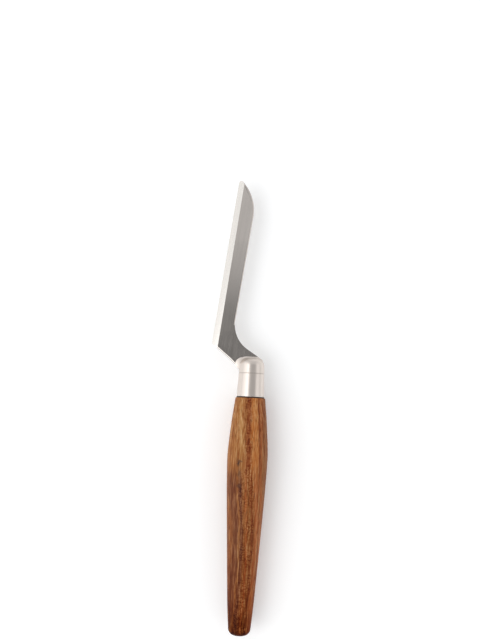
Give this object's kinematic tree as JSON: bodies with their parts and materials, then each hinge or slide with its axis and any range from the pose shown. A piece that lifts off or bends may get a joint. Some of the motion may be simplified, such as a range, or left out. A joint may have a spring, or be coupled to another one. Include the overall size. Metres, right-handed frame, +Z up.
{
  "type": "kitchen knife",
  "caption": "Small offset kitchen knife for soft cheese: a narrow bevelled blade on a cranked neck, a round steel ferrule and a turned wooden handle.",
  "frame": {"origin": "under the middle of the knife's box, at the table it lies on", "axes": "the knife lies on its side: the handle's axis is along Y with the blade's tip at +Y, the cutting edge faces -X, and Z points up, square to the blade's plane"},
  "size_m": [0.0276, 0.2028, 0.018],
  "materials": {
    "blade_steel": "satin flats, brighter ground bevels",
    "ferrule_steel": "polished",
    "spacer_fibre": "matt",
    "acacia": "oiled, satin",
    "resin": "cured, glossy"
  },
  "bodies": {
    "root": {"blade": "blade_steel", "ferrule": "ferrule_steel", "spacer": "spacer_fibre", "handle": "acacia", "tang_adhesive": "resin"}
  },
  "joints": []
}
